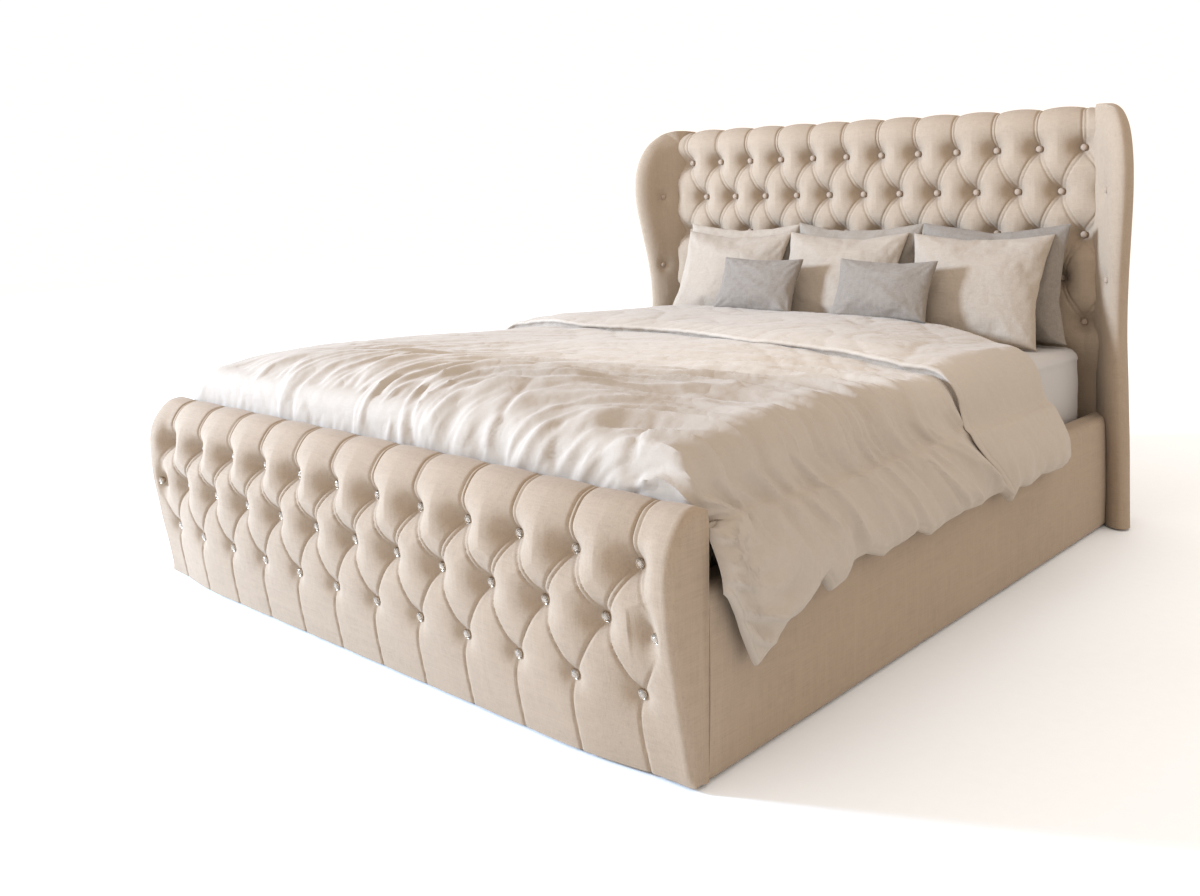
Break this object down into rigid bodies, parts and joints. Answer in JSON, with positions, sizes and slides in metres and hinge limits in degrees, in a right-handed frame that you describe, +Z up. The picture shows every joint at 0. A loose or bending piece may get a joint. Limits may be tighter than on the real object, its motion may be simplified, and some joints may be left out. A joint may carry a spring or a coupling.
{
  "type": "ottoman bed",
  "caption": "Upholstered storage bed with a buttoned wing headboard, a buttoned scroll footboard and a sprung platform that lifts from the foot on arms and gas springs, made up with bedding.",
  "frame": {"origin": "centre of the bed's footprint, on the floor", "axes": "+X to the bed's right side seen from the foot, +Y towards the headboard, +Z up"},
  "size_m": [1.7992, 2.242, 1.235],
  "materials": {
    "centre_board": "satin",
    "corner_bracket_foot_left": "satin",
    "corner_bracket_foot_right": "satin",
    "corner_bracket_head_left": "satin",
    "corner_bracket_head_right": "satin",
    "cushion_left": "matte",
    "cushion_right": "matte",
    "duvet": "matte",
    "floor_bearer_1": "satin",
    "floor_bearer_2": "satin",
    "floor_bearer_3": "satin",
    "floor_bearer_4": "satin",
    "footboard_end_left": "matte",
    "footboard_end_right": "matte",
    "footboard_pad": "matte",
    "frame_cross": "satin",
    "frame_foot": "satin",
    "frame_head": "satin",
    "frame_side_left": "satin",
    "frame_side_right": "satin",
    "frame_spine_foot": "satin",
    "frame_spine_head": "satin",
    "gas_cylinder_left": "satin",
    "gas_cylinder_right": "satin",
    "gas_rod_left": "polished",
    "gas_rod_right": "polished",
    "glide_1": "matte",
    "glide_2": "matte",
    "glide_3": "matte",
    "glide_4": "matte",
    "glide_5": "matte",
    "glide_6": "matte",
    "headboard_back_panel": "matte",
    "headboard_pad": "matte",
    "hinge_plate_left": "satin",
    "hinge_plate_right": "satin",
    "ledger_left": "satin",
    "ledger_right": "satin",
    "lift_arm_left": "satin",
    "lift_arm_right": "satin",
    "lift_strap": "matte",
    "mattress": "matte",
    "pillow_back_left": "matte",
    "pillow_back_middle": "matte",
    "pillow_back_right": "matte",
    "pillow_front_left": "matte",
    "pillow_front_middle": "matte",
    "pillow_front_right": "matte",
    "platform_bracket_left": "satin",
    "platform_bracket_right": "satin",
    "rear_link_left": "satin",
    "rear_link_right": "satin",
    "side_rail_left": "matte",
    "side_rail_right": "matte",
    "slat_base": "satin",
    "storage_floor_left": "matte",
    "storage_floor_right": "matte",
    "wing_left": "matte",
    "wing_right": "matte"
  },
  "bodies": {
    "base": {"centre_board": "centre_board", "corner_bracket_foot_left": "corner_bracket_foot_left", "corner_bracket_foot_right": "corner_bracket_foot_right", "corner_bracket_head_left": "corner_bracket_head_left", "corner_bracket_head_right": "corner_bracket_head_right", "floor_bearer_1": "floor_bearer_1", "floor_bearer_2": "floor_bearer_2", "floor_bearer_3": "floor_bearer_3", "floor_bearer_4": "floor_bearer_4", "footboard_end_left": "footboard_end_left", "footboard_end_right": "footboard_end_right", "footboard_pad": "footboard_pad", "glide_1": "glide_1", "glide_2": "glide_2", "glide_3": "glide_3", "glide_4": "glide_4", "glide_5": "glide_5", "glide_6": "glide_6", "headboard_back_panel": "headboard_back_panel", "headboard_pad": "headboard_pad", "hinge_plate_left": "hinge_plate_left", "hinge_plate_right": "hinge_plate_right", "ledger_left": "ledger_left", "ledger_right": "ledger_right", "side_rail_left": "side_rail_left", "side_rail_right": "side_rail_right", "storage_floor_left": "storage_floor_left", "storage_floor_right": "storage_floor_right", "wing_left": "wing_left", "wing_right": "wing_right"},
    "platform": {"cushion_left": "cushion_left", "cushion_right": "cushion_right", "duvet": "duvet", "frame_cross": "frame_cross", "frame_foot": "frame_foot", "frame_head": "frame_head", "frame_side_left": "frame_side_left", "frame_side_right": "frame_side_right", "frame_spine_foot": "frame_spine_foot", "frame_spine_head": "frame_spine_head", "lift_strap": "lift_strap", "mattress": "mattress", "pillow_back_left": "pillow_back_left", "pillow_back_middle": "pillow_back_middle", "pillow_back_right": "pillow_back_right", "pillow_front_left": "pillow_front_left", "pillow_front_middle": "pillow_front_middle", "pillow_front_right": "pillow_front_right", "platform_bracket_left": "platform_bracket_left", "platform_bracket_right": "platform_bracket_right", "slat_base": "slat_base"},
    "gas_cylinder_left": {"gas_cylinder_left": "gas_cylinder_left"},
    "gas_cylinder_right": {"gas_cylinder_right": "gas_cylinder_right"},
    "gas_rod_left": {"gas_rod_left": "gas_rod_left"},
    "gas_rod_right": {"gas_rod_right": "gas_rod_right"},
    "lift_arm_left": {"lift_arm_left": "lift_arm_left"},
    "lift_arm_right": {"lift_arm_right": "lift_arm_right"},
    "rear_link_left": {"rear_link_left": "rear_link_left"},
    "rear_link_right": {"rear_link_right": "rear_link_right"}
  },
  "joints": [
    {"name": "lift_right", "type": "hinge", "parent": "base", "child": "lift_arm_right", "pos_m": [0.707, 0.398, 0.18], "axis": [1, 0, 0], "range_deg": [0, 90]},
    {"name": "platform_tilt", "type": "hinge", "parent": "lift_arm_right", "child": "platform", "pos_m": [0.707, 0.67867, 0.22949], "axis": [-1, 0, 0], "range_deg": [0, 115]},
    {"name": "lift_left", "type": "hinge", "parent": "base", "child": "lift_arm_left", "pos_m": [-0.707, 0.398, 0.18], "axis": [1, 0, 0], "range_deg": [0, 90]},
    {"name": "rear_link_turn_right", "type": "hinge", "parent": "base", "child": "rear_link_right", "pos_m": [0.7145, 0.3117, 0.1599], "axis": [1, 0, 0], "range_deg": [0, 85.68]},
    {"name": "gas_turn_right", "type": "hinge", "parent": "base", "child": "gas_cylinder_right", "pos_m": [0.684, 0.653, 0.095], "axis": [1, 0, 0], "range_deg": [0, 84.77]},
    {"name": "gas_stroke_right", "type": "slide", "parent": "gas_cylinder_right", "child": "gas_rod_right", "axis": [0, 0.8072, 0.5903], "range_m": [0, 0.1261]},
    {"name": "rear_link_turn_left", "type": "hinge", "parent": "base", "child": "rear_link_left", "pos_m": [-0.7145, 0.3117, 0.1599], "axis": [1, 0, 0], "range_deg": [0, 85.68]},
    {"name": "gas_turn_left", "type": "hinge", "parent": "base", "child": "gas_cylinder_left", "pos_m": [-0.684, 0.653, 0.095], "axis": [1, 0, 0], "range_deg": [0, 84.77]},
    {"name": "gas_stroke_left", "type": "slide", "parent": "gas_cylinder_left", "child": "gas_rod_left", "axis": [0, 0.8072, 0.5903], "range_m": [0, 0.1261]}
  ],
  "couplings": [
    {"joint": "platform_tilt", "follows": "lift_right", "ratio": 1.2778},
    {"joint": "lift_left", "follows": "lift_right", "ratio": 1},
    {"joint": "rear_link_turn_right", "follows": "lift_right", "ratio": 0.9519},
    {"joint": "gas_turn_right", "follows": "lift_right", "ratio": 0.9418},
    {"joint": "gas_stroke_right", "follows": "lift_right", "m_per_rad": 0.08021},
    {"joint": "rear_link_turn_left", "follows": "lift_right", "ratio": 0.9519},
    {"joint": "gas_turn_left", "follows": "lift_right", "ratio": 0.9418},
    {"joint": "gas_stroke_left", "follows": "lift_right", "m_per_rad": 0.08021}
  ]
}
